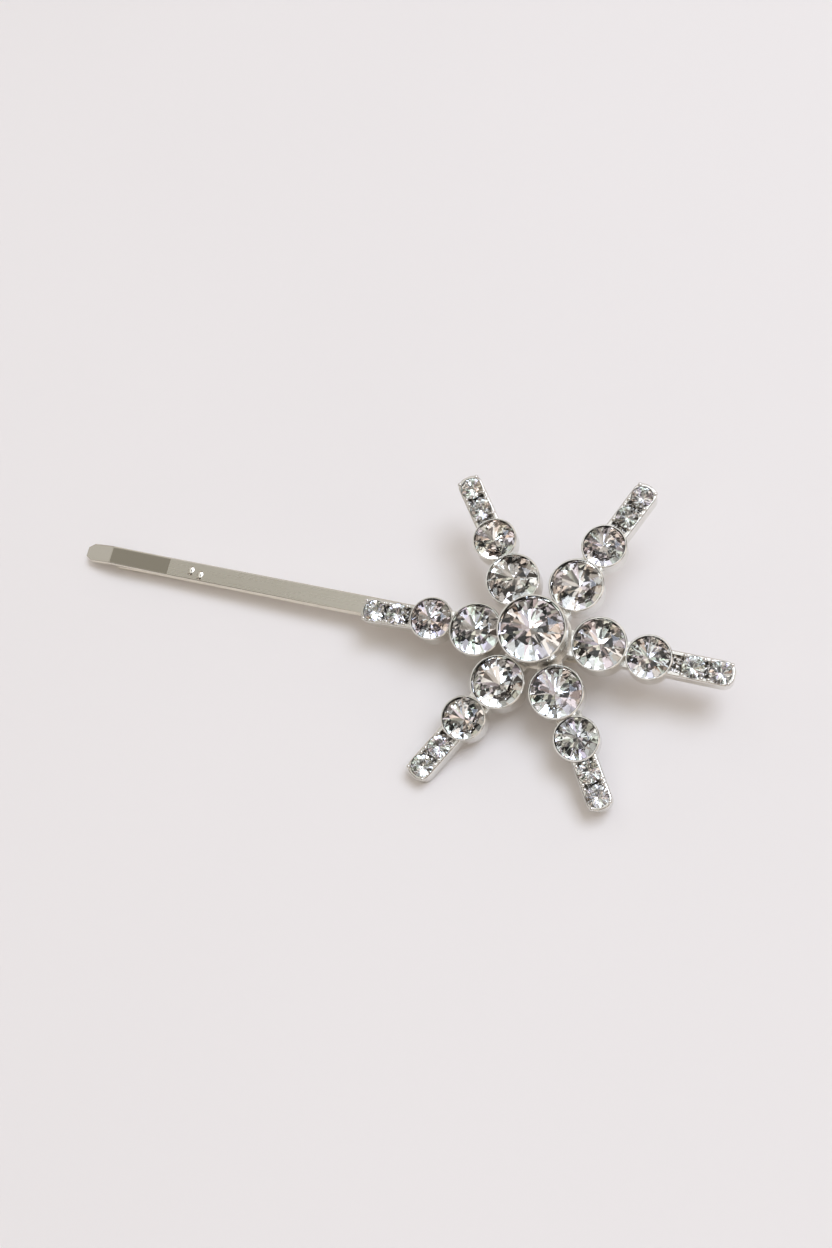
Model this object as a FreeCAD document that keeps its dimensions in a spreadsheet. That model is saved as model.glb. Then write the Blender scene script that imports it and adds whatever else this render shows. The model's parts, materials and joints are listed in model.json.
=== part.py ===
"""Star hair clip: a sprung steel pin that carries a six-rayed star of glass stones.

Everything is drawn in the clip's own frame: the star faces +Z, its back is the plane z = 0, its
centre is the origin, and the pin runs along -X with its tips at the far end. rest_placement then
lays the whole clip down as it lies on a table: on the bend, the lower leg's tip and one front ray.
"""

import FreeCAD, Part
import math
import os
import Sketcher
from FreeCAD import Placement, Rotation, Vector

# Driving dimensions, in millimetres and degrees.
DIMENSIONS = {
    # the pin: one flat steel wire, bent double
    "leg_width": 1.95,
    "leg_thickness": 0.7,
    "upper_reach": 51.35,  # star centre to the upper leg's tip
    "bend_reach": 4.0,  # star centre to the outside of the bend
    "loop_height": 3.9,  # over the outsides of both legs, at the bend
    "tip_length": 3.4,  # last facet of the upper leg, turned down
    "tip_angle": 14.0,
    "ramp_length": 6.98,  # facet before it, lifted to open the mouth
    "ramp_angle": 2.0,
    "tip_corner": 0.55,
    "wire_bend_radius": 2.6,
    "leg_gap": 0.05,  # between the closed legs
    "lower_setback": 2.85,  # the lower leg ends this much before the upper one
    "legs_meet": 13.5,  # star centre to where the lower leg meets the upper one
    "flare_length": 5.5,
    "flare_drop": 0.45,
    "wire_edge": 0.22,
    "crease_radius": 0.4,
    "hinge_clearance": 0.03,
    "bend_tail": 0.4,  # straight wire between the bend and the hinge line
    "bump_length": 0.4,  # two pressed bumps on the upper leg: half sizes
    "bump_width": 0.44,
    "bump_height": 0.12,
    "bump_lean": 16.0,
    "bump_from_tip": 13.14,
    "bump_spacing": 1.15,
    "bump_side_1": -0.08,
    "bump_side_2": -0.38,
    # the star
    "hub_radius": 3.2,
    "hub_height": 1.2,
    "web_root": 2.56,  # star centre to where a web starts, inside the hub
    "ray_azimuth_1": -0.5,  # the rays are soldered on by hand, a little unevenly
    "ray_azimuth_2": 66.3,
    "ray_azimuth_3": 126.8,
    "ray_azimuth_4": 182.6,
    "ray_azimuth_5": 241.3,
    "ray_azimuth_6": 302.8,
    "web_width": 2.5,
    "web_height": 1.35,
    "bar_width": 2.45,
    "bar_height": 1.7,
    "bar_overhang": 1.35,  # from the last stone's middle to the bar's end
    "bar_corner": 1.0,
    "channel_width": 1.7,  # cut along the bar's top, between its walls
    "channel_depth": 0.45,
    "edge_round": 0.16,
    "rim_bevel": 0.07,
    "inner_pitch": 5.95,  # star centre to the inner cup's centre
    "inner_side_1": 0.19,  # each inner cup stands a little to one side of its ray's line
    "inner_side_2": -0.23,
    "inner_side_3": 0.0,
    "inner_side_4": 0.48,
    "inner_side_5": 0.23,
    "inner_side_6": -0.24,
    "inner_cup": 2.64,
    "inner_height": 2.55,
    "outer_pitch": 10.65,
    "outer_cup": 2.18,
    "outer_height": 2.12,
    "seat_clearance": 0.03,
    "near_tip_pitch_1": 14.75,
    "near_tip_pitch_2": 14.3,
    "near_tip_pitch_3": 14.3,
    "near_tip_pitch_4": 14.3,
    "near_tip_pitch_5": 14.25,
    "near_tip_pitch_6": 13.95,
    "far_tip_pitch_1": 17.2,
    "far_tip_pitch_2": 16.75,
    "far_tip_pitch_3": 16.75,
    "far_tip_pitch_4": 16.7,
    "far_tip_pitch_5": 16.65,
    "far_tip_pitch_6": 16.2,
    "grain_radius": 0.22,
    "centre_cup": 3.3,
    "centre_shift": -0.28,  # the centre cup is soldered a little off centre, towards the pin
    "centre_foot": 2.2,
    "centre_shoulder": 2.9,
    "centre_height": 4.35,
    # the stones
    "centre_stone": 3.12,
    "inner_stone": 2.46,
    "outer_stone": 2.01,
    "tip_stone": 1.06,
    "girdle_share": 0.06,  # the girdle's height, crown and pavilion as shares of a stone's radius
    "crown_share": 0.3,
    "pavilion_share": 0.85,
    "seat_share": 0.9,  # the seat's cone, a little deeper than the pavilion
    "table_share": 0.58,
    "star_share": 0.8,  # where the star facets end, as a share of a stone's radius
    "lower_share": 0.2,  # where the lower girdle facets end, near the point
    "rim_above_girdle": 0.06,
    "stone_turn": 137.5,  # each stone is turned this much from the one before
    "stone_lean": 0.6,
    "lean_turn": 233.75,  # and the way it leans turns this much
    # how the clip lies on a table
    "rest_roll": 12.93,
    "rest_pitch": -2.35,
    "rest_lift": 3.906,
    "rest_shift_x": 16.393,
    "rest_shift_y": -0.15,
}

document = FreeCAD.newDocument("StarHairClip")
sheet = document.addObject("Spreadsheet::Sheet", "Dimensions")
for row, (alias, number) in enumerate(DIMENSIONS.items(), start=1):
    sheet.set(f"A{row}", alias)
    sheet.set(f"B{row}", str(number))
    sheet.setAlias(f"B{row}", alias)
document.recompute()


def size(alias):
    """A driving dimension, read back from the sheet."""
    return float(sheet.get(alias))


def cell(alias):
    """The expression that names a cell of the sheet."""
    return f"Dimensions.{alias}"


def rest_placement():
    """Carries the clip's own frame to the table's frame."""
    turn = Rotation(Vector(1, 0, 0), size("rest_roll")) * Rotation(Vector(0, 1, 0), size("rest_pitch"))
    return Placement(Vector(size("rest_shift_x"), size("rest_shift_y"), size("rest_lift")), turn)


REST = rest_placement()
parts = []


def keep(feature, label, local=Placement()):
    """Names a sub-part and lays it down with the rest of the clip."""
    feature.Label = label
    feature.Placement = REST.multiply(local)
    parts.append(feature)
    return feature


def new_body(name):
    return document.addObject("PartDesign::Body", name)


def plane_of(body, role):
    return next(f for f in body.Origin.OriginFeatures if f.Role == role)


def new_sketch(body, name, role="XY_Plane", along=None, height=None):
    """A sketch on one of the body's origin planes. along and height are expressions that shift it
    in its own x direction and off its plane."""
    sketch = body.newObject("Sketcher::SketchObject", name)
    sketch.AttachmentSupport = [(plane_of(body, role), "")]
    sketch.MapMode = "FlatFace"
    if along:
        sketch.setExpression("AttachmentOffset.Base.x", along)
    if height:
        sketch.setExpression("AttachmentOffset.Base.z", height)
    return sketch


def add_outline(sketch, corners):
    """A closed outline whose corners are pairs of expressions, each bound to the sheet."""
    points = [Vector(float(sheet.evalExpression(x)), float(sheet.evalExpression(y)), 0) for x, y in corners]
    count = len(points)
    first = sketch.GeometryCount
    for i in range(count):
        sketch.addGeometry(Part.LineSegment(points[i], points[(i + 1) % count]), False)
    for i in range(count):
        sketch.addConstraint(Sketcher.Constraint("Coincident", first + i, 2, first + (i + 1) % count, 1))
    for i, (x, y) in enumerate(corners):
        for kind, text, value in (("DistanceX", x, points[i].x), ("DistanceY", y, points[i].y)):
            index = sketch.addConstraint(Sketcher.Constraint(kind, -1, 1, first + i, 1, value))
            sketch.setExpression(f"Constraints[{index}]", text)


def add_circle(sketch, centre_x, radius):
    """A circle on the sketch's x axis, its place and radius bound to the sheet."""
    x, r = float(sheet.evalExpression(centre_x)), float(sheet.evalExpression(radius))
    index = sketch.addGeometry(Part.Circle(Vector(x, 0, 0), Vector(0, 0, 1), r), False)
    sketch.addConstraint(Sketcher.Constraint("PointOnObject", index, 3, -1))
    for kind, text, value in (("DistanceX", centre_x, x), ("Radius", radius, r)):
        ends = (-1, 1, index, 3) if kind == "DistanceX" else (index,)
        place = sketch.addConstraint(Sketcher.Constraint(kind, *ends, value))
        sketch.setExpression(f"Constraints[{place}]", text)


def pad(body, sketch, length, middle=False):
    feature = body.newObject("PartDesign::Pad", sketch.Name + "Pad")
    feature.Profile = sketch
    feature.setExpression("Length", length)
    if middle:
        feature.SideType = "Symmetric"
    document.recompute()
    return feature


def pocket(body, sketch, length, middle=False):
    """Cuts down from the sketch, and stops if nothing was cut."""
    before = body.Shape.Volume
    feature = body.newObject("PartDesign::Pocket", sketch.Name + "Pocket")
    feature.Profile = sketch
    feature.setExpression("Length", length)
    if middle:
        feature.SideType = "Symmetric"
    document.recompute()
    if body.Shape.Volume >= before - 1e-6:
        raise RuntimeError(f"{feature.Name} cut nothing")
    return feature


def turn_about_v(body, sketch, kind):
    """A full Revolution or Groove of the sketch about its own vertical axis."""
    before = body.Shape.Volume if body.Tip else 0.0
    feature = body.newObject(f"PartDesign::{kind}", sketch.Name + kind)
    feature.Profile = sketch
    feature.ReferenceAxis = (sketch, ["V_Axis"])
    feature.Angle = 360.0
    document.recompute()
    if abs(body.Shape.Volume - before) < 1e-6:
        raise RuntimeError(f"{feature.Name} changed nothing")
    return feature


def round_edges(body, base, radius, wanted):
    """A fillet on the base feature's edges that wanted() picks."""
    names = [f"Edge{i}" for i, edge in enumerate(base.Shape.Edges, start=1) if wanted(edge)]
    feature = body.newObject("PartDesign::Fillet", base.Name + "Fillet")
    feature.Base = (base, names)
    feature.setExpression("Radius", radius)
    document.recompute()
    return feature


# ---------------------------------------------------------------- the pin


def wire_outline(path, radius, thickness, round_start=False):
    """The two sides of a bent flat wire as lines and arcs. path holds (x, z) corners; each inner
    corner is bent to the given radius on the wire's middle line."""
    points = [Vector(x, z, 0) for x, z in path]
    half = thickness / 2
    left, right = [], []
    start = points[0]
    normal = Vector(0, 0, 1)
    for i in range(1, len(points)):
        ahead = (points[i] - points[i - 1]).normalize()
        side = normal.cross(ahead)
        if i == len(points) - 1:
            end, turn = points[i], 0.0
        else:
            onward = (points[i + 1] - points[i]).normalize()
            turn = math.atan2(ahead.cross(onward).z, ahead.dot(onward))
            end = points[i] - ahead * (radius[i] * math.tan(abs(turn) / 2))
        if (end - start).Length > 1e-6:
            left.append(Part.LineSegment(start + side * half, end + side * half))
            right.append(Part.LineSegment(start - side * half, end - side * half))
        if turn:
            way = math.copysign(1.0, turn)
            centre = end + side * (radius[i] * way)
            middle = Rotation(normal, math.degrees(turn) / 2).multVec(end - centre)
            after = Rotation(normal, math.degrees(turn)).multVec(end - centre)
            for edges, offset in ((left, -half * way), (right, half * way)):
                share = (radius[i] + offset) / radius[i]
                edges.append(
                    Part.Arc(centre + (end - centre) * share, centre + middle * share, centre + after * share)
                )
            start = centre + after
    first_way = (points[1] - points[0]).normalize()
    a, b = left[0].StartPoint, right[0].StartPoint
    cap = Part.Arc(b, points[0] - first_way * half, a) if round_start else Part.LineSegment(b, a)
    far = Part.LineSegment(left[-1].EndPoint, right[-1].EndPoint)
    return left + [far] + right + [cap]


def hinge_point():
    """Where the lower leg swings: (x, z) on the wire's middle line, just after the bend."""
    radius = (size("loop_height") - size("leg_thickness")) / 2
    x = size("bend_reach") - size("leg_thickness") / 2 - radius - size("bend_tail")
    return x, size("leg_thickness") / 2 - size("loop_height")


def wire_body(name, path, radius, round_start=False):
    body = new_body(name)
    sketch = new_sketch(body, name + "Side", "XZ_Plane")
    for curve in wire_outline(path, radius, size("leg_thickness"), round_start):
        sketch.addGeometry(curve, False)
    pad(body, sketch, cell("leg_width"), middle=True)
    return body


def round_wire(body, tip_x):
    """Rounds the corners of a leg's free end, then the edges all the way along it."""
    at_tip = tip_x + size("leg_thickness")

    def upright_at_tip(edge):
        ends = [v.Point for v in edge.Vertexes]
        return len(ends) == 2 and max(p.x for p in ends) < at_tip and abs(ends[0].y - ends[1].y) < 1e-6

    def lengthwise(edge):
        ends = [v.Point for v in edge.Vertexes]
        span = ends[-1] - ends[0]
        across_tip = max(p.x for p in ends) < at_tip and abs(span.y) > size("leg_width") / 5
        along = abs(span.y) < 1e-6 and abs(span.x) > 0.3 * span.Length
        return along or across_tip

    round_edges(body, body.Tip, cell("tip_corner"), upright_at_tip)
    round_edges(body, body.Tip, cell("wire_edge"), lengthwise)


def build_upper_leg():
    """The upper leg with the bend: a straight flat strip, a mouth at its tip, two pressed bumps."""
    half = size("leg_thickness") / 2
    loop = (size("loop_height") - size("leg_thickness")) / 2
    reach, ramp, tip = size("upper_reach"), size("ramp_length"), size("tip_length")
    lift = ramp * math.sin(math.radians(size("ramp_angle")))
    drop = tip * math.sin(math.radians(size("tip_angle")))
    bend_x = size("bend_reach") - half
    hinge_x, hinge_z = hinge_point()
    path = [
        (-reach, lift - drop - half),
        (-reach + tip, lift - half),
        (-reach + tip + ramp, -half),
        (bend_x, -half),
        (bend_x, hinge_z),
        (hinge_x, hinge_z),
    ]
    crease = size("crease_radius")
    body = wire_body("UpperLeg", path, [0, crease, crease, loop, loop, 0])
    round_wire(body, -reach)

    socket = new_sketch(body, "HingeSocket", "XZ_Plane")
    knuckle = half + size("hinge_clearance")
    socket.addGeometry(Part.Circle(Vector(hinge_x, hinge_z, 0), Vector(0, 0, 1), knuckle), False)
    socket.addConstraint(Sketcher.Constraint("Radius", 0, knuckle))
    socket.setExpression("Constraints[0]", f"{cell('leg_thickness')} / 2 + {cell('hinge_clearance')}")
    pocket(body, socket, f"2 * {cell('leg_width')}", middle=True)

    for number in (1, 2):
        bump = body.newObject("PartDesign::AdditiveEllipsoid", f"Bump{number}")
        for name, alias in (("Radius2", "bump_length"), ("Radius3", "bump_width"), ("Radius1", "bump_height")):
            bump.setExpression(name, cell(alias))
        x = -reach + size("bump_from_tip") + (number - 1) * size("bump_spacing")
        lean = Rotation(Vector(0, 1, 0), size("bump_lean"))
        bump.Placement = Placement(Vector(x, size(f"bump_side_{number}"), 0), lean)
        document.recompute()
    return keep(body, "upper_leg")


def build_lower_leg():
    """The lower leg: it rises from the bend to meet the upper leg, and flares away at its tip."""
    hinge_x, hinge_z = hinge_point()
    closed = -1.5 * size("leg_thickness") - size("leg_gap")
    tip_x = -size("upper_reach") + size("lower_setback")
    path = [
        (hinge_x, hinge_z),
        (-size("legs_meet"), closed),
        (tip_x + size("flare_length"), closed),
        (tip_x, closed - size("flare_drop")),
    ]
    gentle = size("wire_bend_radius")
    body = wire_body("LowerLeg", path, [0, gentle, gentle, 0], round_start=True)
    round_wire(body, tip_x)
    return keep(body, "lower_leg")


# ---------------------------------------------------------------- the star's metal


def add_cup(body, name, pitch, radius, height, side="0"):
    """A round cup's outside, with a bevelled rim."""
    sketch = new_sketch(body, name, "XZ_Plane", along=cell(pitch), height=f"-({side})")
    r, top, bevel = cell(radius), cell(height), cell("rim_bevel")
    corners = [("0", "0"), (r, "0"), (r, f"{top} - {bevel}"), (f"{r} - {bevel}", top), ("0", top)]
    add_outline(sketch, corners)
    turn_about_v(body, sketch, "Revolution")


def girdle_level(height):
    """A stone's girdle top, as an expression, for a rim at that height."""
    return f"({cell(height)} - {cell('rim_above_girdle')})"


def cut_seat(body, name, pitch, stone, height, side="0"):
    """The seat of a stone: a straight wall down to the girdle, then a cone that clears the back."""
    sketch = new_sketch(body, name, "XZ_Plane", along=cell(pitch), height=f"-({side})")
    r = f"({cell(stone)} + {cell('seat_clearance')})"
    ledge = f"{girdle_level(height)} - {cell('girdle_share')} * {cell(stone)} - {cell('seat_clearance')}"
    floor = f"{ledge} - {cell('seat_share')} * {cell(stone)}"
    corners = [("0", floor), (r, ledge), (r, f"{cell(height)} + 1"), ("0", f"{cell(height)} + 1")]
    add_outline(sketch, corners)
    turn_about_v(body, sketch, "Groove")


def build_ray(number):
    """One cast ray: a channelled bar with two small seats and their grains, two round cups, and a web
    to the hub."""
    body = new_body(f"Ray{number}")
    half, corner = f"{cell('bar_width')} / 2", size("bar_corner")
    end, side = size(f"far_tip_pitch_{number}") + size("bar_overhang"), size("bar_width") / 2
    root = size("outer_pitch")

    plan = new_sketch(body, f"Ray{number}Bar")
    top, low, right = Vector(end - corner, side, 0), Vector(end - corner, -side, 0), end
    diagonal = corner * math.sqrt(0.5)
    outline = [
        Part.LineSegment(Vector(root, side, 0), top),
        Part.Arc(top, top + Vector(diagonal, diagonal - corner, 0), Vector(right, side - corner, 0)),
        Part.LineSegment(Vector(right, side - corner, 0), Vector(right, corner - side, 0)),
        Part.Arc(Vector(right, corner - side, 0), low + Vector(diagonal, corner - diagonal, 0), low),
        Part.LineSegment(low, Vector(root, -side, 0)),
        Part.LineSegment(Vector(root, -side, 0), Vector(root, side, 0)),
    ]
    for curve in outline:
        plan.addGeometry(curve, False)
    bar = pad(body, plan, cell("bar_height"))
    bar_top = size("bar_height")

    def top_edge(edge):
        return all(abs(v.Z - bar_top) < 1e-6 for v in edge.Vertexes) and edge.BoundBox.XMax > root + 1e-6

    round_edges(body, bar, cell("edge_round"), top_edge)

    channel = new_sketch(body, f"Ray{number}Channel", height=cell("bar_height"))
    wall = f"{cell('channel_width')} / 2"
    start, stop = f"{cell('outer_pitch')} - 1", cell(f"far_tip_pitch_{number}")
    add_outline(channel, [(start, f"-({wall})"), (stop, f"-({wall})"), (stop, wall), (start, wall)])
    pocket(body, channel, cell("channel_depth"))

    web = new_sketch(body, f"Ray{number}Web")
    width = f"{cell('web_width')} / 2"
    add_outline(
        web,
        [
            (cell("web_root"), f"-({width})"),
            (cell("outer_pitch"), f"-({half})"),
            (cell("outer_pitch"), half),
            (cell("web_root"), width),
        ],
    )
    pad(body, web, cell("web_height"))

    inner_side = cell(f"inner_side_{number}")
    add_cup(body, f"Ray{number}InnerCup", "inner_pitch", "inner_cup", "inner_height", inner_side)
    add_cup(body, f"Ray{number}OuterCup", "outer_pitch", "outer_cup", "outer_height")
    seats = [
        ("Inner", "inner_pitch", "inner_stone", "inner_height", inner_side),
        ("Outer", "outer_pitch", "outer_stone", "outer_height", "0"),
        ("NearTip", f"near_tip_pitch_{number}", "tip_stone", "bar_height", "0"),
        ("FarTip", f"far_tip_pitch_{number}", "tip_stone", "bar_height", "0"),
    ]
    for name, pitch, stone, height, side in seats:
        cut_seat(body, f"Ray{number}{name}Seat", pitch, stone, height, side)

    hub = new_sketch(body, f"Ray{number}HubFit", height=cell("inner_height"))
    add_circle(hub, "0", cell("hub_radius"))
    pocket(body, hub, f"{cell('inner_height')} + 1")

    reach = (size("tip_stone") + size("grain_radius")) * math.sqrt(0.5)
    places = [(tip, i, j) for tip in ("near", "far") for i in (-1, 1) for j in (-1, 1)]
    for index, (tip, along, across) in enumerate(places, start=1):
        grain = body.newObject("PartDesign::AdditiveSphere", f"Ray{number}Grain{index}")
        grain.setExpression("Radius", cell("grain_radius"))
        spot = Vector(size(f"{tip}_tip_pitch_{number}") + along * reach, across * reach, bar_top)
        grain.Placement = Placement(spot, Rotation())
    document.recompute()
    azimuth = size(f"ray_azimuth_{number}")
    return keep(body, f"ray_{number}", Placement(Vector(), Rotation(Vector(0, 0, 1), azimuth)))


def build_hub():
    """The round plate that the rays are soldered round."""
    body = new_body("Hub")
    sketch = new_sketch(body, "HubPlan")
    add_circle(sketch, "0", cell("hub_radius"))
    pad(body, sketch, cell("hub_height"))
    return keep(body, "hub_plate")


def build_centre_cup():
    """The raised collet in the middle: it flares from its foot to a straight rim."""
    body = new_body("CentreCup")
    shift = cell("centre_shift")
    sketch = new_sketch(body, "CentreCupSide", "XZ_Plane", along=shift)
    r, foot, top = cell("centre_cup"), cell("centre_foot"), cell("centre_height")
    bevel, base = cell("rim_bevel"), cell("hub_height")
    add_outline(
        sketch,
        [
            ("0", base),
            (foot, base),
            (r, cell("centre_shoulder")),
            (r, f"{top} - {bevel}"),
            (f"{r} - {bevel}", top),
            ("0", top),
        ],
    )
    turn_about_v(body, sketch, "Revolution")
    seat = new_sketch(body, "CentreSeat", "XZ_Plane", along=shift)
    stone = cell("centre_stone")
    wall = f"({stone} + {cell('seat_clearance')})"
    girdle = girdle_level("centre_height")
    ledge = f"{girdle} - {cell('girdle_share')} * {stone} - {cell('seat_clearance')}"
    floor = f"{ledge} - {cell('seat_share')} * {stone}"
    add_outline(seat, [("0", floor), (wall, ledge), (wall, f"{top} + 1"), ("0", f"{top} + 1")])
    turn_about_v(body, seat, "Groove")
    return keep(body, "centre_cup")


# ---------------------------------------------------------------- the stones


def brilliant(radius):
    """A round brilliant cut: table, 8 star, 8 kite and 16 upper girdle facets on the crown, a
    sixteen-sided girdle, 8 main and 16 lower girdle facets behind. Its girdle top is at z = 0."""
    sides = 8
    step = 2 * math.pi / sides
    slant = math.cos(step / 2)
    crown = size("crown_share") * radius
    girdle = -size("girdle_share") * radius
    culet = girdle - size("pavilion_share") * radius
    table = size("table_share") * radius
    star = size("star_share") * radius
    star_z = crown * (1 - (star * slant - table) / (radius - table))
    lower = size("lower_share") * radius
    lower_z = culet + (lower * slant / radius) * (girdle - culet)

    def ring(r, z, offset=0.0):
        return [
            Vector(r * math.cos((k + offset) * step), r * math.sin((k + offset) * step), z) for k in range(sides)
        ]

    tables, stars, lowers = ring(table, crown), ring(star, star_z, 0.5), ring(lower, lower_z, 0.5)
    tops, mids = ring(radius, 0.0), ring(radius, 0.0, 0.5)
    low_tops, low_mids = ring(radius, girdle), ring(radius, girdle, 0.5)
    point = Vector(0, 0, culet)
    faces = [tables]
    for k in range(sides):
        n = (k + 1) % sides
        faces += [
            [tables[k], stars[k], tables[n]],
            [tables[k], stars[k - 1], tops[k], stars[k]],
            [stars[k], tops[k], mids[k]],
            [stars[k], mids[k], tops[n]],
            [tops[k], low_tops[k], low_mids[k], mids[k]],
            [mids[k], low_mids[k], low_tops[n], tops[n]],
            [point, lowers[k - 1], low_tops[k], lowers[k]],
            [lowers[k], low_mids[k], low_tops[k]],
            [lowers[k], low_tops[n], low_mids[k]],
        ]
    shell = Part.Shell([Part.Face(Part.makePolygon(f + [f[0]])) for f in faces])
    solid = Part.Solid(shell)
    if solid.Volume < 0:
        solid.reverse()
    return solid


def build_stone(label, alias, ray, pitch, height, order, side=0.0):
    """A stone in its seat. Each one is turned differently, and leans a little, as set stones do."""
    stone = document.addObject("Part::Feature", label)
    stone.Shape = brilliant(size(alias))
    azimuth = size(f"ray_azimuth_{ray}") if ray else 0.0
    turn = Rotation(Vector(0, 0, 1), size("stone_turn") * order)
    way = Rotation(Vector(0, 0, 1), size("lean_turn") * order).multVec(Vector(1, 0, 0))
    level = size(height) - size("rim_above_girdle")
    lean = size("stone_lean") if ray else 0.0
    seat = Placement(Vector(pitch, side, level), Rotation(way, lean).multiply(turn))
    around = Placement(Vector(), Rotation(Vector(0, 0, 1), azimuth))
    keep(stone, label, around.multiply(seat))


def build_stones():
    build_stone("centre_stone", "centre_stone", 0, size("centre_shift"), "centre_height", 0)
    order = 1
    for ray in range(1, 7):
        for label, alias, pitch, height in (
            ("inner_stone", "inner_stone", "inner_pitch", "inner_height"),
            ("outer_stone", "outer_stone", "outer_pitch", "outer_height"),
            ("near_tip_stone", "tip_stone", f"near_tip_pitch_{ray}", "bar_height"),
            ("far_tip_stone", "tip_stone", f"far_tip_pitch_{ray}", "bar_height"),
        ):
            side = size(f"inner_side_{ray}") if label == "inner_stone" else 0.0
            build_stone(f"{label}_{ray}", alias, ray, size(pitch), height, order, side)
            order += 1


build_upper_leg()
build_lower_leg()
build_hub()
build_centre_cup()
for ray_number in range(1, 7):
    build_ray(ray_number)
build_stones()
document.recompute()

for thing in document.Objects:
    if {"Invalid", "Error"} & set(thing.State):
        raise RuntimeError(f"{thing.Name} failed: {thing.State}")

os.makedirs("parts", exist_ok=True)
for part in parts:
    shape = part.Shape
    if shape.isNull() or not shape.isValid():
        raise RuntimeError(f"{part.Label} has no valid shape")
    shape.exportStep(f"parts/{part.Label}.step")
    print(f"{part.Label}: {shape.Volume:.3f} mm3, {len(shape.Solids)} solid")
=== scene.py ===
import json
import math
import random

import bmesh
import bpy
from mathutils import Matrix, Vector


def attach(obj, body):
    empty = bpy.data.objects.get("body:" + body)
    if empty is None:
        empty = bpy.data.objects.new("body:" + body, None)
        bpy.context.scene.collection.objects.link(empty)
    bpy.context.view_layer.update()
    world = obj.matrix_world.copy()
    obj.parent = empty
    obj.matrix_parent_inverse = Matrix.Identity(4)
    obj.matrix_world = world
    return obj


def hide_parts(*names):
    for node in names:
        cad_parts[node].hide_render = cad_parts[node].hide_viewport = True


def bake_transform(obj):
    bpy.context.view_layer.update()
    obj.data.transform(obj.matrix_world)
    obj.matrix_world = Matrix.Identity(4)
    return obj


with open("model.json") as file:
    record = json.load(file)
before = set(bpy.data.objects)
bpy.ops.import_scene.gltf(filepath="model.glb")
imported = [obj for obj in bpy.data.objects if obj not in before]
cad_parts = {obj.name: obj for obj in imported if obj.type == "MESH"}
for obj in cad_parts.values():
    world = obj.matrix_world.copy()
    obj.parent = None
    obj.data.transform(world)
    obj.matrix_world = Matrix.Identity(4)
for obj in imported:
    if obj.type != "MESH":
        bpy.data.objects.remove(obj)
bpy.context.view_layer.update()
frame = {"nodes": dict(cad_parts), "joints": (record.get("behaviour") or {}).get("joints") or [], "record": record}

# ---------------------------------------------------------------- sizes, in millimetres and degrees

MM = 0.001

# the pin, in the clip's own frame: star centre at the origin, pin along -X. It is the CAD's, but for the
# upper leg's crisper edges, TIP_CORNER (0.55 in the CAD) and BUMP_WIDTH (0.44), which follow the photograph.
LEG_WIDTH, LEG_THICKNESS, WIRE_EDGE, TIP_CORNER = 1.95, 0.7, 0.22, 0.42
UPPER_REACH, TIP_LENGTH, TIP_ANGLE, RAMP_LENGTH, RAMP_ANGLE, CREASE = 51.35, 3.4, 14.0, 6.98, 2.0, 0.4
BEND_REACH, LOOP_HEIGHT, BEND_TAIL = 4.0, 3.9, 0.4
LEG_GAP, LOWER_SETBACK, LEGS_MEET, FLARE_LENGTH, FLARE_DROP, LOWER_BEND = 0.05, 2.85, 13.5, 5.5, 0.45, 2.6
BUMP_LENGTH, BUMP_WIDTH, BUMP_HEIGHT, BUMP_LEAN = 0.4, 0.54, 0.12, 16.0
BUMP_FROM_TIP, BUMP_SPACING, BUMP_SIDES = 13.14, 1.15, (-0.08, -0.38)
TOP_EDGE = 0.09  # the radius of the upper leg's edges, where WIRE_EDGE is the rest of the wire's
TIP_STEP, LEG_STEP, TIP_REACH = 0.06, 1.0, 0.7  # the sweep's steps near a tip and elsewhere
# the rays' plating is painted near black on these channel floors, as painted shade in the recess
CHANNEL_FLOOR, FLOOR_BAND = 1.25, 0.02  # the floors of the bars' channels, above the star's back

# the camera that takes the reference view, in the row frame
CAMERA_PLACE = (33.086, -47.398, 107.168)
CAMERA_TURN = (26.7596, 8.0122, 16.7654)
CAMERA_LENS = 33.999

# the studio: its wall's patches, as (place on a ramp, colour), then shapes in the room, as
# (direction, radius in degrees, colour). The first is the large dim panel that the pin reflects.
WALL = [
    (0.41, (0.10, 0.085, 0.075)),
    (0.47, (0.38, 0.33, 0.29)),
    (0.53, (0.54, 0.47, 0.42)),
    (0.59, (1.05, 0.94, 0.86)),
]
SHAPES = [
    ((-0.45, -0.053, 0.89), 16, (0.69, 0.675, 0.63)),
    ((0.16, 0.10, 0.98), 22, (1.2, 1.2, 1.2)),
    ((0.17, -0.38, 0.91), 9, (0.03, 0.03, 0.03)),
    ((-0.476, -0.057, 0.877), 4, (0.36, 0.34, 0.30)),
    ((-0.25, -0.6, 0.76), 8, (1.3, 1.25, 1.2)),
    ((-0.5, 0.35, 0.79), 8, (1.15, 1.15, 1.2)),
    ((0.62, -0.25, 0.74), 7, (1.4, 1.4, 1.4)),
    ((0.10, 0.02, 0.99), 4, (0.05, 0.05, 0.05)),
    ((0.3, 0.42, 0.86), 5, (0.06, 0.06, 0.07)),
    ((-0.878, 0.032, 0.478), 14, (0.68, 0.66, 0.63)),
    ((-0.56, -0.54, 0.63), 11, (0.05, 0.045, 0.04)),
]
PANEL_SOFT = 2  # degrees over which a shape fades
KEY_PLACE, KEY_SIZE, KEY_POWER, KEY_COLOUR = (0.27, 0.24, 0.85), 0.5, 3.35, (0.91, 1.0, 1.2)
FLOOR_DROP, FLOOR_HALF = 0.02, 1.6  # millimetres under the clip, and metres

# slots of the wire's and the stones' materials
DRAWN_SLOT, PRESSED_SLOT, EDGE_PAINTED_REFLECTION_SLOT = 0, 1, 2
GLASS_SLOT, FOIL_SLOT = 0, 1
STONE_SEED = 11

LOOP_RADIUS = (LOOP_HEIGHT - LEG_THICKNESS) / 2
HINGE = Vector((BEND_REACH - LEG_THICKNESS / 2 - LOOP_RADIUS - BEND_TAIL, 0, LEG_THICKNESS / 2 - LOOP_HEIGHT))


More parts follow.
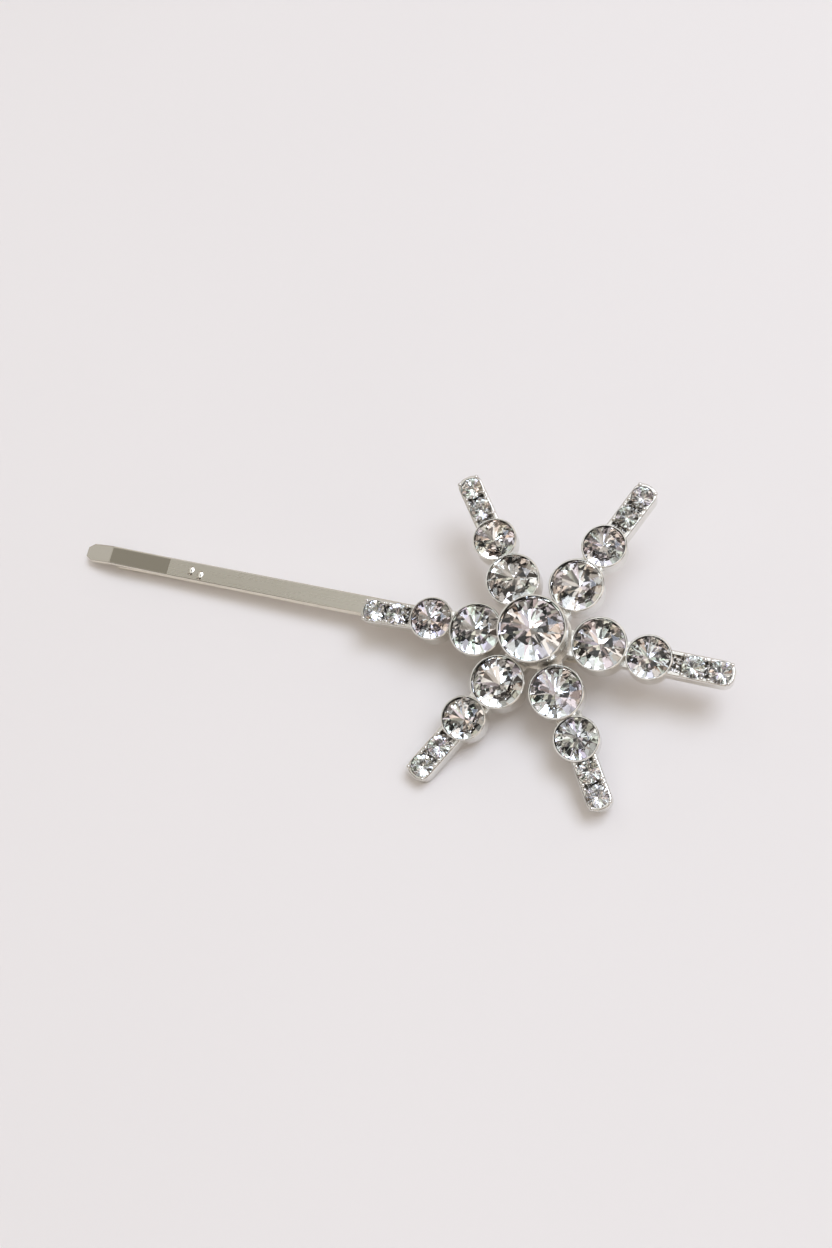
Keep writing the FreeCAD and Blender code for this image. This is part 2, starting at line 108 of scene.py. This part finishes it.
def clip_matrix():
    """The clip's own frame, in metres, from the record: the slot points along -X, the leg's face down."""
    mounts = {m["name"]: Vector(m["axis"]) for m in frame["record"]["mounts"]}
    joint = frame["joints"][0]
    x, y, z = -mounts["hair_slot"], Vector(joint["axis"]), -mounts["scalp_face"]
    turn = Matrix((x, y, z)).transposed()
    place = Vector(joint["pos_m"]) - turn @ (HINGE * MM)
    return Matrix.Translation(place) @ turn.to_4x4()


CLIP = clip_matrix()
CLIP_UP = CLIP.to_3x3() @ Vector((0, 0, 1))

# ---------------------------------------------------------------- shader helpers


class Nodes:
    """A material's node tree, with short calls to add nodes and link them."""

    def __init__(self, name):
        self.material = bpy.data.materials.new(name)
        self.material.use_nodes = True
        self.tree = self.material.node_tree
        self.tree.nodes.clear()

    def add(self, kind, inputs=None, **settings):
        node = self.tree.nodes.new(kind)
        for key, value in settings.items():
            setattr(node, key, value)
        for key, value in (inputs or {}).items():
            if isinstance(value, bpy.types.NodeSocket):
                self.tree.links.new(value, node.inputs[key])
            else:
                node.inputs[key].default_value = value
        return node

    def clip_coordinates(self, scale=(1, 1, 1)):
        """Coordinates in the clip's own frame, in millimetres, times scale."""
        where = self.add("ShaderNodeTexCoord").outputs["Object"]
        back = CLIP.inverted()
        turn = self.add(
            "ShaderNodeMapping",
            {"Vector": where, "Rotation": back.to_euler(), "Location": back.translation},
        )
        grow = tuple(s / MM for s in scale)
        return self.add("ShaderNodeMapping", {"Vector": turn.outputs[0], "Scale": grow}).outputs[0]

    def noise(self, vector, scale, detail=3.0, rough=0.5):
        node = self.add(
            "ShaderNodeTexNoise",
            {"Vector": vector, "Scale": scale, "Detail": detail, "Roughness": rough},
        )
        return node.outputs["Fac"]

    def ramp(self, factor, stops):
        """A colour ramp: stops are pairs of a place and a colour or a grey."""
        node = self.add("ShaderNodeValToRGB", {"Fac": factor})
        elements = node.color_ramp.elements
        while len(elements) < len(stops):
            elements.new(0.5)
        for element, (place, shade) in zip(elements, stops):
            element.position = place
            element.color = (*shade, 1) if isinstance(shade, tuple) else (shade, shade, shade, 1)
        return node.outputs["Color"]

    def spread(self, factor, low, high):
        """factor, which a texture gives from about 0.3 to 0.7, carried to low..high."""
        node = self.add(
            "ShaderNodeMapRange",
            {"Value": factor, "From Min": 0.3, "From Max": 0.7, "To Min": low, "To Max": high},
        )
        return node.outputs["Result"]

    def maths(self, operation, *values):
        return self.add("ShaderNodeMath", dict(enumerate(values)), operation=operation).outputs[0]

    def pick(self, mask, a, b, kind):
        """a where the mask is 0 and b where it is 1."""
        first, second, out = {"FLOAT": (2, 3, 0), "VECTOR": (4, 5, 1), "RGBA": (6, 7, 2)}[kind]
        return self.add("ShaderNodeMix", {0: mask, first: a, second: b}, data_type=kind).outputs[out]

    def bump(self, height, strength, distance):
        return self.add(
            "ShaderNodeBump",
            {"Height": height, "Strength": strength, "Distance": distance * MM},
        ).outputs["Normal"]

    def finish(self, shader):
        self.add("ShaderNodeOutputMaterial", {"Surface": shader.outputs[0]})
        return self.material


# ---------------------------------------------------------------- materials


def wire_material(name, low, high, streaks, bright=1.0):
    """Nickel-toned plating on drawn strip: fine lengthwise lines and slight cloudiness. Its roughness
    goes from low to high; streaks is how strongly the lines show and bright how pale the metal is, which above 1
    paints a paler copy: a painted reflection of the lit floor."""
    n = Nodes(name)
    lines = n.noise(n.clip_coordinates((0.12, 6.0, 6.0)), 1.0, 4.0, 0.6)
    cloud = n.noise(n.clip_coordinates((0.15, 0.6, 0.6)), 1.0, 3.0)
    darker = tuple(bright * c for c in (0.64, 0.61, 0.54))
    paler = tuple(bright * c for c in (0.66, 0.63, 0.565))
    shader = n.add(
        "ShaderNodeBsdfPrincipled",
        {
            "Metallic": 1.0,
            "Base Color": n.ramp(cloud, [(0.3, darker), (0.7, paler)]),
            "Roughness": n.spread(lines, low, high),
            "Normal": n.bump(lines, streaks, 0.002),
        },
    )
    return n.finish(shader)


def channel_painted_shade_mask(n):
    """1 on the floors of the bars' channels, which face up at one height, and 0 elsewhere: where the rays get
    painted shade.
    """
    height = n.add("ShaderNodeSeparateXYZ", {0: n.clip_coordinates()}).outputs["Z"]
    level = n.maths("COMPARE", height, CHANNEL_FLOOR, FLOOR_BAND)
    normal = n.add("ShaderNodeTexCoord").outputs["Normal"]
    facing = n.add("ShaderNodeVectorMath", {0: normal, 1: CLIP_UP}, operation="DOT_PRODUCT")
    upward = n.maths("GREATER_THAN", facing.outputs["Value"], 0.9)
    return n.maths("MULTIPLY", level, upward)


def casting_material(name, with_painted_channel_shade=False):
    """Polished plating on a casting: gentle waviness, faint pits and a little tarnish. On a ray, the rougher
    floor of a bar's channel carries painted shade: near black, with bright grains of plating."""
    n = Nodes(name)
    here = n.clip_coordinates()
    wave = n.noise(here, 1.6, 2.0)
    pits = n.noise(here, 14.0, 3.0, 0.6)
    tarnish = n.noise(here, 0.7, 4.0)
    mixed = n.maths("ADD", wave, pits)
    colour = n.ramp(tarnish, [(0.3, (0.73, 0.715, 0.67)), (0.65, (0.84, 0.83, 0.795))])
    rough, normal = n.spread(pits, 0.10, 0.2), n.bump(mixed, 0.35, 0.02)
    if with_painted_channel_shade:
        # painted shade: the channel floor, a recess, is painted near black between grains of plating, standing in
        # for the shade there
        mask, grains = channel_painted_shade_mask(n), n.noise(here, 3.2, 2.0)
        dark = n.ramp(grains, [(0.44, (0.07, 0.065, 0.055)), (0.6, (0.85, 0.82, 0.77))])
        colour = n.pick(mask, colour, dark, "RGBA")
        rough = n.pick(mask, rough, n.spread(grains, 0.35, 0.15), "FLOAT")
        normal = n.pick(mask, normal, n.bump(grains, 1.0, 0.3), "VECTOR")
    shader = n.add(
        "ShaderNodeBsdfPrincipled",
        {"Metallic": 1.0, "Base Color": colour, "Roughness": rough, "Normal": normal},
    )
    return n.finish(shader)


def glass_material():
    """Clear crystal, with the faintest polishing haze."""
    n = Nodes("stone_glass")
    haze = n.noise(n.clip_coordinates(), 3.0, 2.0)
    shader = n.add(
        "ShaderNodeBsdfPrincipled",
        {
            "Base Color": n.ramp(haze, [(0.3, (0.975, 0.98, 0.965)), (0.7, (1.0, 0.99, 0.985))]),
            "Roughness": n.spread(haze, 0.0, 0.02),
            "Transmission Weight": 1.0,
            "IOR": 1.58,
        },
    )
    return n.finish(shader)


def foil_material():
    """The silvered back of a stone. Each facet's foil has a tint drawn at random: painted colour flecks of fire,
    standing in for the glass's dispersion, and painted darker reflections where it is grey.
    """
    n = Nodes("stone_foil")
    tint = n.add("ShaderNodeAttribute", attribute_name="facet_painted_fire_and_shade").outputs["Color"]
    grain = n.noise(n.clip_coordinates(), 9.0, 2.0)
    shader = n.add(
        "ShaderNodeBsdfPrincipled",
        {
            "Metallic": 1.0,
            "Base Color": tint,
            "Roughness": n.spread(grain, 0.015, 0.05),
        },
    )
    return n.finish(shader)


def floor_material():
    n = Nodes("paper_floor")
    where = n.add("ShaderNodeTexCoord").outputs["Object"]
    fibre = n.noise(where, 900.0, 4.0, 0.6)
    cloud = n.noise(where, 12.0, 2.0)
    shader = n.add(
        "ShaderNodeBsdfPrincipled",
        {
            "Base Color": n.ramp(cloud, [(0.3, (0.89, 0.86, 0.833)), (0.7, (0.905, 0.875, 0.848))]),
            "Roughness": n.spread(fibre, 0.7, 0.85),
            "Specular IOR Level": 0.25,
            "Normal": n.bump(fibre, 0.1, 0.02),
        },
    )
    return n.finish(shader)


DRAWN = wire_material("drawn_wire", 0.26, 0.3, 0.03)
PRESSED = wire_material("pressed_wire", 0.02, 0.05, 0.01)  # the tip's facets, the bumps, the top corners
# the strip's narrow edges and end faces: a rougher finish, its colour painted paler as a painted reflection of the
# lit floor along the strip's side
EDGE_PAINTED_REFLECTION = wire_material("wire_edge", 0.45, 0.5, 0.03, 1.42)
CASTING = casting_material("plated_casting")
# the rays' plating, with painted shade on the floors of the bars' channels
RAY_WITH_PAINTED_SHADE = casting_material("plated_ray_painted_shade", with_painted_channel_shade=True)
GLASS, FOIL = glass_material(), foil_material()

# ---------------------------------------------------------------- the pin's wire


def bent_path(corners, radii, steps):
    """Points along a bent wire's middle line, with the direction at each: (place, direction) pairs.
    corners are (x, z) pairs, each inner one bent to its radius."""
    points = [Vector((x, 0, z)) for x, z in corners]
    path = [(points[0], (points[1] - points[0]).normalized())]
    for i in range(1, len(points) - 1):
        ahead = (points[i] - points[i - 1]).normalized()
        onward = (points[i + 1] - points[i]).normalized()
        turn = math.atan2(ahead.cross(onward).y, ahead.dot(onward))
        start = points[i] - ahead * (radii[i] * math.tan(abs(turn) / 2))
        side = Vector((0, 1, 0)).cross(ahead) * math.copysign(1.0, turn)
        centre = start + side * radii[i]
        for k in range(steps[i] + 1):
            spin = Matrix.Rotation(turn * k / steps[i], 3, "Y")
            path.append((centre + spin @ (start - centre), spin @ ahead))
    path.append((points[-1], (points[-1] - points[-2]).normalized()))
    return path


def resampled(path, longest):
    """The path with its long straight runs divided, so that no step is longer than longest(place)."""
    out = [path[0]]
    for (a, da), (b, db) in zip(path, path[1:]):
        count = max(1, math.ceil((b - a).length / longest((a + b) / 2)))
        for k in range(1, count + 1):
            out.append((a.lerp(b, k / count), da.lerp(db, k / count).normalized()))
    return out


def wire_section(width, thickness, edge, flats=14, rounds=5):
    """The rounded section of the strip as (across, up) pairs."""
    half_w, half_t = width / 2 - edge, thickness / 2 - edge
    out = []
    for corner, (sx, sy) in enumerate(((1, 1), (-1, 1), (-1, -1), (1, -1))):
        for k in range(rounds + 1):
            angle = math.radians(90 * (corner + k / rounds))
            out.append((sx * half_w + edge * math.cos(angle), sy * half_t + edge * math.sin(angle)))
        if corner in (0, 2):
            for k in range(1, flats):
                share = 1 - 2 * k / flats
                out.append((sx * half_w * share, sy * (half_t + edge)))
    return out


def finish_of(a, b, width, edge, upper):
    """Which slot the strip has between two points of its section: its narrow edges have a rougher finish painted
    paler, a painted reflection of the lit floor, and the upper leg's crisp top corners a polished one."""
    across, rise = abs(a[0] + b[0]) / 2, (a[1] + b[1]) / 2
    if across > width / 2 - 0.35 * edge:
        return EDGE_PAINTED_REFLECTION_SLOT
    return PRESSED_SLOT if upper and rise > 0 and across > width / 2 - edge else DRAWN_SLOT


def add_bump(mesh, number):
    """One pressed bump: a low leaning dome that stands out of the upper leg."""
    middle = Vector((-UPPER_REACH + BUMP_FROM_TIP + number * BUMP_SPACING, BUMP_SIDES[number], 0))
    shape = Matrix.Diagonal((BUMP_LENGTH, BUMP_WIDTH, BUMP_HEIGHT, 1))
    lean = Matrix.Rotation(math.radians(BUMP_LEAN), 4, "Y")
    place = CLIP @ Matrix.Scale(MM, 4) @ Matrix.Translation(middle) @ lean @ shape
    return bmesh.ops.create_uvsphere(mesh, u_segments=32, v_segments=16, radius=1, matrix=place)["verts"]


def rounded_off(radius, from_end):
    """How far a rounded corner has drawn in, at that distance from the end."""
    return radius - math.sqrt(max(radius**2 - max(radius - from_end, 0) ** 2, 0))


def wire_mesh(name, path, free_end, upper=False):
    """Sweeps the strip's section along the path. The end named by free_end is rounded in plan."""
    mesh = bmesh.new()
    lengths = [0.0]
    for (a, _), (b, _) in zip(path, path[1:]):
        lengths.append(lengths[-1] + (b - a).length)
    rings, finishes = [], []
    for (place, ahead), along in zip(path, lengths):
        from_tip = along if free_end == "start" else lengths[-1] - along
        inset = rounded_off(TIP_CORNER, from_tip)
        blunt = rounded_off(TOP_EDGE if upper else WIRE_EDGE, from_tip)
        width, thickness = LEG_WIDTH - 2 * inset, LEG_THICKNESS - 2 * blunt * 0.9
        down = min(max(-1 - place.z, 0), 1) if upper else 1
        edge = min(TOP_EDGE + (WIRE_EDGE - TOP_EDGE) * down, thickness * 0.45)
        up = ahead.cross(Vector((0, 1, 0)))
        ring = []
        section = wire_section(width, thickness, edge)
        for across, rise in section:
            spot = place + Vector((0, across, 0)) + up * rise
            ring.append(mesh.verts.new(CLIP @ (spot * MM)))
        rings.append(ring)
        pressed = upper and place.x < TIP_LENGTH + RAMP_LENGTH - UPPER_REACH - 0.01
        turned = section[1:] + section[:1]
        kinds = [finish_of(a, b, width, edge, upper) for a, b in zip(section, turned)]
        finishes.append([max(kind, PRESSED_SLOT if pressed else DRAWN_SLOT) for kind in kinds])
    for a, b, kinds in zip(rings, rings[1:], finishes):
        for k, kind in enumerate(kinds):
            n = (k + 1) % len(a)
            mesh.faces.new((a[k], a[n], b[n], b[k])).material_index = kind
    for ring in (rings[0][::-1], rings[-1]):
        mesh.faces.new(ring).material_index = EDGE_PAINTED_REFLECTION_SLOT
    if upper:
        for number in (0, 1):
            for vert in add_bump(mesh, number):
                for face in vert.link_faces:
                    face.material_index = PRESSED_SLOT
    bmesh.ops.recalc_face_normals(mesh, faces=mesh.faces)
    return finished(mesh, name, [DRAWN, PRESSED, EDGE_PAINTED_REFLECTION], smooth=True)


def finished(mesh, name, materials, smooth=False, sharp_angle=40.0):
    """Turns a bmesh into an object with its materials, smooth where its edges are not sharp."""
    data = bpy.data.meshes.new(name)
    for edge in mesh.edges:
        faces = edge.link_faces
        angle = faces[0].normal.angle(faces[1].normal, 0) if len(faces) == 2 else math.pi
        edge.smooth = angle < math.radians(sharp_angle)
    for face in mesh.faces:
        face.smooth = smooth
    mesh.to_mesh(data)
    mesh.free()
    for material in materials:
        data.materials.append(material)
    piece = bpy.data.objects.new(name, data)
    bpy.context.scene.collection.objects.link(piece)
    return piece


def step_near(tip_x):
    """How long the steps along a leg may be: short where its tip is rounded, long elsewhere."""
    return lambda place: TIP_STEP if abs(place.x - tip_x) < TIP_REACH else LEG_STEP


def build_pin():
    """The wire in two pieces that meet at the hinge line, under the star. The bend flexes."""
    half = LEG_THICKNESS / 2
    lift = RAMP_LENGTH * math.sin(math.radians(RAMP_ANGLE))
    drop = TIP_LENGTH * math.sin(math.radians(TIP_ANGLE))
    bend_x = BEND_REACH - half
    upper = [
        (-UPPER_REACH, lift - drop - half),
        (-UPPER_REACH + TIP_LENGTH, lift - half),
        (-UPPER_REACH + TIP_LENGTH + RAMP_LENGTH, -half),
        (bend_x, -half),
        (bend_x, HINGE.z),
        (HINGE.x, HINGE.z),
    ]
    path = bent_path(upper, [0, CREASE, CREASE, LOOP_RADIUS, LOOP_RADIUS, 0], [0, 5, 5, 14, 14, 0])
    top = wire_mesh("pin_wire_upper", resampled(path, step_near(-UPPER_REACH)), "start", upper=True)
    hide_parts("upper_leg")
    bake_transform(top)

    closed = -1.5 * LEG_THICKNESS - LEG_GAP
    tip_x = -UPPER_REACH + LOWER_SETBACK
    lower = [
        (HINGE.x, HINGE.z),
        (-LEGS_MEET, closed),
        (tip_x + FLARE_LENGTH, closed),
        (tip_x, closed - FLARE_DROP),
    ]
    path = bent_path(lower, [0, LOWER_BEND, LOWER_BEND, 0], [0, 6, 6, 0])
    foot = wire_mesh("pin_wire_lower", resampled(path, step_near(tip_x)), "end")
    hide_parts("lower_leg")
    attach(foot, "lower")


# ---------------------------------------------------------------- the stones

# the larger stones are flatter than the CAD's: further than FULL_TO millimetres below its top a stone has
# FLATTER of its height. ASKEW is how far its point lies off its middle, in stone heights.
FULL_TO, FLATTER, ASKEW = 0.36, 0.5, (0.03, 0.1)
# tints drawn at random for the foil's facets: the coloured ones are painted fire, standing in for the glass's
# dispersion, the grey ones painted darker reflections
FOIL_PAINTED_FIRE_AND_SHADE = [
    (0.97, 0.975, 0.965),
    (0.92, 0.945, 0.955),
    (0.87, 0.94, 0.88),
    (0.84, 0.82, 0.92),
    (0.93, 0.85, 0.80),
    (0.70, 0.71, 0.71),
    (0.52, 0.53, 0.53),
]


def reshape(mesh, flatter, chance):
    """Flattens the stone's crown and back about the lower edge of its girdle, which stays in its seat, and
    sets its point a little aside, as no two stones are cut quite alike."""
    places = {vert: CLIP.inverted() @ vert.co for vert in mesh.verts}
    top, point = max(p.z for p in places.values()), min(p.z for p in places.values())
    middle = sum((p.xy for p in places.values()), Vector((0, 0))) / len(places)
    widest = max((p.xy - middle).length for p in places.values())
    girdle = min(p.z for p in places.values() if (p.xy - middle).length > 0.97 * widest)

    def rise(height):
        return max(top - height - FULL_TO * MM, 0) * (1 - flatter)

    turn, reach = chance.uniform(0, 2 * math.pi), chance.uniform(*ASKEW) * (top - point)
    aside = CLIP.to_3x3() @ Vector((math.cos(turn), math.sin(turn), 0)) * reach
    for vert, place in places.items():
        share = (top - place.z) / (top - point)
        vert.co += CLIP_UP * (rise(place.z) - rise(girdle)) + aside * share**2


def build_stone(node, chance):
    """A stone: the CAD's facets, reshaped, with a clear crown and girdle and a silvered back."""
    mesh = bmesh.new()
    mesh.from_mesh(frame["nodes"][node].data)
    bmesh.ops.remove_doubles(mesh, verts=mesh.verts, dist=1e-7)
    bmesh.ops.dissolve_limit(mesh, angle_limit=math.radians(1), verts=mesh.verts, edges=mesh.edges)
    reshape(mesh, 1 if "tip" in node else FLATTER, chance)
    # each facet's foil gets a painted tint, coloured fire on some facets and darker grey reflections on others
    painted_fire_layer = mesh.loops.layers.float_color.new("facet_painted_fire_and_shade")
    for face in mesh.faces:
        face.normal_update()
        face.material_index = FOIL_SLOT if face.normal.dot(CLIP_UP) < -0.3 else GLASS_SLOT
        tint = chance.choice(FOIL_PAINTED_FIRE_AND_SHADE)
        for loop in face.loops:
            loop[painted_fire_layer] = (*tint, 1)
    piece = finished(mesh, node + "_cut", [GLASS, FOIL])
    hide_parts(node)
    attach(piece, "upper")


def build_stones():
    chance = random.Random(STONE_SEED)
    for node in sorted(frame["nodes"]):
        if "stone" in node:
            build_stone(node, chance)


# ---------------------------------------------------------------- the castings


def dress_castings():
    """Plating on the castings, which keep the CAD's shape; the rays' plating has painted shade on the floors of
    their channels.
    """
    for node, piece in frame["nodes"].items():
        if node.startswith(("ray", "hub", "centre_cup")):
            for slot in piece.material_slots:
                slot.material = RAY_WITH_PAINTED_SHADE if node.startswith("ray") else CASTING


# ---------------------------------------------------------------- the studio


def softbox(name, place, size, power, colour):
    """A square lamp at that place, turned to the clip."""
    light = bpy.data.lights.new(name, "AREA")
    light.shape = "SQUARE"
    light.size = size
    light.energy = power
    light.color = colour
    lamp = bpy.data.objects.new(name, light)
    lamp.location = place
    lamp.rotation_euler = (-Vector(place)).to_track_quat("-Z", "Y").to_euler()
    bpy.context.scene.collection.objects.link(lamp)


def build_floor():
    mesh = bmesh.new()
    bmesh.ops.create_grid(mesh, x_segments=8, y_segments=8, size=FLOOR_HALF)
    floor = finished(mesh, "floor", [floor_material()])
    floor.location.z = -FLOOR_DROP * MM


class Room:
    """The world's node tree: the light that comes from each direction, built up step by step."""

    def __init__(self):
        world = bpy.data.worlds.new("room")
        bpy.context.scene.world = world
        world.use_nodes = True
        self.tree = world.node_tree
        self.tree.nodes.clear()
        self.way = self.add("ShaderNodeTexCoord").outputs["Generated"]

    add = Nodes.add
    ramp = Nodes.ramp
    noise = Nodes.noise

    def spot(self, way, radius, soft):
        """One within radius degrees of a direction, falling to zero over soft degrees more."""
        dot = self.add(
            "ShaderNodeVectorMath",
            {0: self.way, 1: Vector(way).normalized()},
            operation="DOT_PRODUCT",
        ).outputs["Value"]
        edge, full = math.cos(math.radians(radius + soft)), math.cos(math.radians(radius))
        node = self.add(
            "ShaderNodeMapRange",
            {"Value": dot, "From Min": edge, "From Max": full},
            interpolation_type="SMOOTHSTEP",
        )
        return node.outputs["Result"]

    def towards(self, colour, share, new_colour):
        """Carries the colour towards new_colour by the share."""
        node = self.add("ShaderNodeMix", {0: share, 6: colour, 7: (*new_colour, 1)}, data_type="RGBA")
        return node.outputs[2]


def build_world():
    """A studio: a wall with paler and darker patches, a few bright panels, and the dark shape of the
    camera."""
    room = Room()
    colour = room.ramp(room.noise(room.way, 3.6, 1.0), WALL)
    for way, radius, shade in SHAPES:
        colour = room.towards(colour, room.spot(way, radius, PANEL_SOFT), shade)
    back = room.add("ShaderNodeBackground", {"Color": colour})
    room.add("ShaderNodeOutputWorld", {"Surface": back.outputs[0]})


def build_studio():
    build_floor()
    build_world()
    softbox("key", KEY_PLACE, KEY_SIZE, KEY_POWER, KEY_COLOUR)
    camera = bpy.data.cameras.new("camera")
    camera.lens = CAMERA_LENS
    camera.sensor_width = 36
    camera.clip_start = 0.005
    view = bpy.data.objects.new("camera", camera)
    view.location = Vector(CAMERA_PLACE) * MM
    view.rotation_euler = [math.radians(a) for a in CAMERA_TURN]
    bpy.context.scene.collection.objects.link(view)
    bpy.context.scene.camera = view
    bpy.context.scene.view_settings.view_transform = "Standard"


build_pin()
build_stones()
dress_castings()
build_studio()

bpy.context.view_layer.update()
